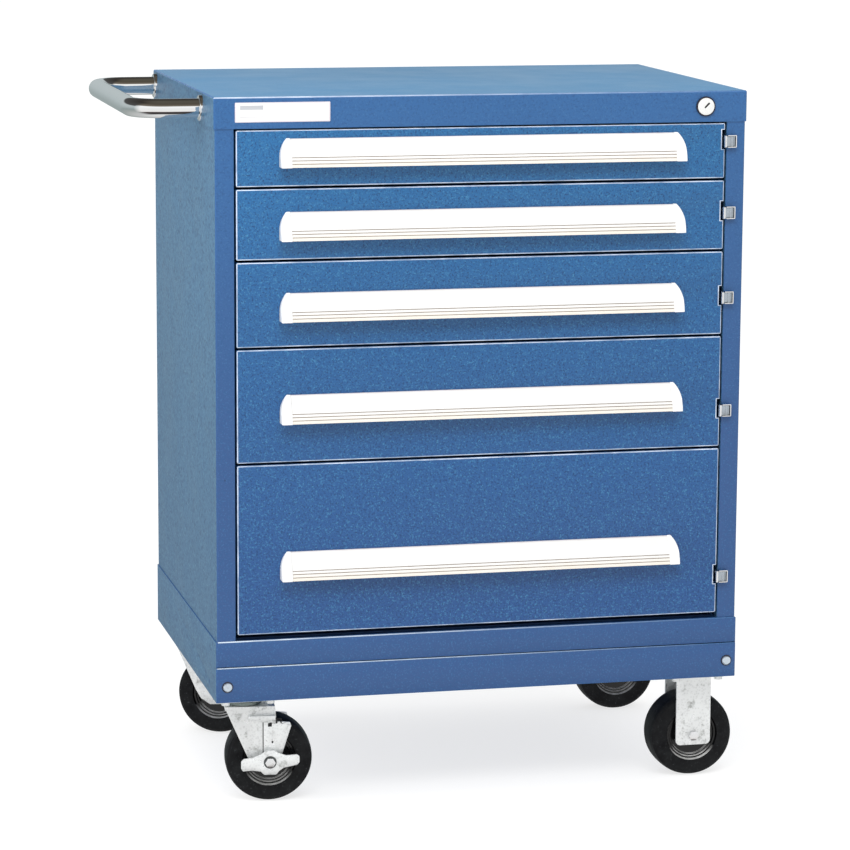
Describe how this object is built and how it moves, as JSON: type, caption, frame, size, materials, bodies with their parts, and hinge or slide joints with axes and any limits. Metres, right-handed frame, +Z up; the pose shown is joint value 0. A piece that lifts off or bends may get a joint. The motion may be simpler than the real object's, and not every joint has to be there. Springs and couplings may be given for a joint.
{
  "type": "rolling tool chest",
  "caption": "Rolling tool chest with stacked full-width drawers, waterfall pulls, side push handle, lid lock, and swivel and rigid casters.",
  "frame": {"origin": "on the floor under the middle of the whole outline, push handle and wheels included", "axes": "+Z up, drawers open toward -Y, push handle on the -X end"},
  "size_m": [0.882, 0.5494, 1.006],
  "materials": {
    "frame_enamel": "gloss blue enamel",
    "drawer_enamel": "semi-gloss blue enamel with a fine orange peel",
    "pull_white": "satin white extrusion",
    "cap_white": "smooth white moulding",
    "zinc_plate": "dull zinc plating",
    "bright_plate": "bright plated",
    "dark_trim": "dark bezel",
    "label_white": "blank white label plate",
    "chrome_tube": "polished chrome",
    "wheel_black": "moulded black"
  },
  "bodies": {
    "cabinet": {"side_panel_left": "frame_enamel", "side_panel_right": "frame_enamel", "back_panel": "frame_enamel", "top_cover": "frame_enamel", "bottom_deck": "frame_enamel", "base_frame": "frame_enamel", "kick_plate": "frame_enamel", "slide_posts": "frame_enamel", "fixed_channels": "zinc_plate", "nameplate": "label_white", "lock_housing": "dark_trim", "handle_tube": "chrome_tube", "handle_flanges": "chrome_tube", "latch_brackets": "bright_plate", "rigid_caster_forks": "zinc_plate", "rigid_caster_axles": "zinc_plate", "swivel_caster_plates": "zinc_plate", "fasteners": "bright_plate"},
    "drawer_1": {"drawer_1_front": "drawer_enamel", "drawer_1_pan": "drawer_enamel", "drawer_1_handle": "pull_white", "drawer_1_handle_caps": "cap_white"},
    "drawer_2": {"drawer_2_front": "drawer_enamel", "drawer_2_pan": "drawer_enamel", "drawer_2_handle": "pull_white", "drawer_2_handle_caps": "cap_white"},
    "drawer_3": {"drawer_3_front": "drawer_enamel", "drawer_3_pan": "drawer_enamel", "drawer_3_handle": "pull_white", "drawer_3_handle_caps": "cap_white"},
    "drawer_4": {"drawer_4_front": "drawer_enamel", "drawer_4_pan": "drawer_enamel", "drawer_4_handle": "pull_white", "drawer_4_handle_caps": "cap_white"},
    "drawer_5": {"drawer_5_front": "drawer_enamel", "drawer_5_pan": "drawer_enamel", "drawer_5_handle": "pull_white", "drawer_5_handle_caps": "cap_white"},
    "carriage_1_body": {"carriage_1": "zinc_plate"},
    "carriage_2_body": {"carriage_2": "zinc_plate"},
    "carriage_3_body": {"carriage_3": "zinc_plate"},
    "carriage_4_body": {"carriage_4": "zinc_plate"},
    "carriage_5_body": {"carriage_5": "zinc_plate"},
    "catch_1": {"latch_1": "bright_plate"},
    "catch_2": {"latch_2": "bright_plate"},
    "catch_3": {"latch_3": "bright_plate"},
    "catch_4": {"latch_4": "bright_plate"},
    "catch_5": {"latch_5": "bright_plate"},
    "plug": {"lock_plug": "bright_plate"},
    "bar": {"lock_bar": "zinc_plate"},
    "fork_front": {"swivel_fork_front": "zinc_plate", "swivel_axle_front": "drawer_enamel"},
    "wheel_l_front": {"wheel_left_front": "drawer_enamel"},
    "lever_front": {"brake_lever_front": "zinc_plate"},
    "wheel_r_front": {"wheel_right_front": "drawer_enamel"},
    "fork_rear": {"swivel_fork_rear": "zinc_plate", "swivel_axle_rear": "zinc_plate"},
    "wheel_l_rear": {"wheel_left_rear": "wheel_black"},
    "lever_rear": {"brake_lever_rear": "zinc_plate"},
    "wheel_r_rear": {"wheel_right_rear": "wheel_black"}
  },
  "joints": [
    {"name": "drawer_1_slide", "type": "slide", "parent": "cabinet", "child": "drawer_1", "axis": [0, -1, 0], "range_m": [0, 0.44]},
    {"name": "drawer_2_slide", "type": "slide", "parent": "cabinet", "child": "drawer_2", "axis": [0, -1, 0], "range_m": [0, 0.44]},
    {"name": "drawer_3_slide", "type": "slide", "parent": "cabinet", "child": "drawer_3", "axis": [0, -1, 0], "range_m": [0, 0.44]},
    {"name": "drawer_4_slide", "type": "slide", "parent": "cabinet", "child": "drawer_4", "axis": [0, -1, 0], "range_m": [0, 0.44]},
    {"name": "drawer_5_slide", "type": "slide", "parent": "cabinet", "child": "drawer_5", "axis": [0, -1, 0], "range_m": [0, 0.44]},
    {"name": "carriage_1_slide", "type": "slide", "parent": "cabinet", "child": "carriage_1_body", "axis": [0, -1, 0], "range_m": [0, 0.22]},
    {"name": "carriage_2_slide", "type": "slide", "parent": "cabinet", "child": "carriage_2_body", "axis": [0, -1, 0], "range_m": [0, 0.22]},
    {"name": "carriage_3_slide", "type": "slide", "parent": "cabinet", "child": "carriage_3_body", "axis": [0, -1, 0], "range_m": [0, 0.22]},
    {"name": "carriage_4_slide", "type": "slide", "parent": "cabinet", "child": "carriage_4_body", "axis": [0, -1, 0], "range_m": [0, 0.22]},
    {"name": "carriage_5_slide", "type": "slide", "parent": "cabinet", "child": "carriage_5_body", "axis": [0, -1, 0], "range_m": [0, 0.22]},
    {"name": "catch_1_hinge", "type": "hinge", "parent": "cabinet", "child": "catch_1", "pos_m": [0.4066, -0.2585, 0.9349], "axis": [0, 0, 1], "range_deg": [0, 12], "stiffness_Nm_per_rad": 0.05, "springref_deg": -17.19},
    {"name": "catch_2_hinge", "type": "hinge", "parent": "cabinet", "child": "catch_2", "pos_m": [0.4066, -0.2585, 0.8339], "axis": [0, 0, 1], "range_deg": [0, 12], "stiffness_Nm_per_rad": 0.05, "springref_deg": -17.19},
    {"name": "catch_3_hinge", "type": "hinge", "parent": "cabinet", "child": "catch_3", "pos_m": [0.4066, -0.2585, 0.7128], "axis": [0, 0, 1], "range_deg": [0, 12], "stiffness_Nm_per_rad": 0.05, "springref_deg": -17.19},
    {"name": "catch_4_hinge", "type": "hinge", "parent": "cabinet", "child": "catch_4", "pos_m": [0.4066, -0.2585, 0.5503], "axis": [0, 0, 1], "range_deg": [0, 12], "stiffness_Nm_per_rad": 0.05, "springref_deg": -17.19},
    {"name": "catch_5_hinge", "type": "hinge", "parent": "cabinet", "child": "catch_5", "pos_m": [0.4066, -0.2585, 0.3077], "axis": [0, 0, 1], "range_deg": [0, 12], "stiffness_Nm_per_rad": 0.05, "springref_deg": -17.19},
    {"name": "lock_turn", "type": "hinge", "parent": "cabinet", "child": "plug", "pos_m": [0.3677, -0.2553, 0.9844], "axis": [0, 1, 0], "range_deg": [0, 90]},
    {"name": "lock_rod_turn", "type": "hinge", "parent": "cabinet", "child": "bar", "pos_m": [0.412, -0.2353, 0.758], "axis": [0, 0, -1], "range_deg": [0, 12]},
    {"name": "swivel_front_turn", "type": "hinge", "parent": "cabinet", "child": "fork_front", "pos_m": [-0.284, -0.1893, 0.14], "axis": [0, 0, 1], "continuous": true},
    {"name": "wheel_left_front_spin", "type": "hinge", "parent": "fork_front", "child": "wheel_l_front", "pos_m": [-0.2482, -0.19306, 0.062], "axis": [0.1045, 0.9945, 0], "continuous": true},
    {"name": "brake_front_hinge", "type": "hinge", "parent": "fork_front", "child": "lever_front", "pos_m": [-0.2482, -0.19306, 0.062], "axis": [0.1045, 0.9945, 0], "range_deg": [-25, 0]},
    {"name": "wheel_right_front_spin", "type": "hinge", "parent": "cabinet", "child": "wheel_r_front", "pos_m": [0.379, -0.1893, 0.062], "axis": [0, 1, 0], "continuous": true},
    {"name": "swivel_rear_turn", "type": "hinge", "parent": "cabinet", "child": "fork_rear", "pos_m": [-0.284, 0.1997, 0.14], "axis": [0, 0, 1], "continuous": true},
    {"name": "wheel_left_rear_spin", "type": "hinge", "parent": "fork_rear", "child": "wheel_l_rear", "pos_m": [-0.25062, 0.18621, 0.062], "axis": [0.3746, 0.9272, 0], "continuous": true},
    {"name": "brake_rear_hinge", "type": "hinge", "parent": "fork_rear", "child": "lever_rear", "pos_m": [-0.25062, 0.18621, 0.062], "axis": [0.3746, 0.9272, 0], "range_deg": [-25, 0]},
    {"name": "wheel_right_rear_spin", "type": "hinge", "parent": "cabinet", "child": "wheel_r_rear", "pos_m": [0.379, 0.1997, 0.062], "axis": [0, 1, 0], "continuous": true}
  ],
  "couplings": [
    {"joint": "carriage_1_slide", "follows": "drawer_1_slide", "ratio": 0.5},
    {"joint": "carriage_2_slide", "follows": "drawer_2_slide", "ratio": 0.5},
    {"joint": "carriage_3_slide", "follows": "drawer_3_slide", "ratio": 0.5},
    {"joint": "carriage_4_slide", "follows": "drawer_4_slide", "ratio": 0.5},
    {"joint": "carriage_5_slide", "follows": "drawer_5_slide", "ratio": 0.5},
    {"joint": "lock_rod_turn", "follows": "lock_turn", "ratio": 0.13333}
  ]
}
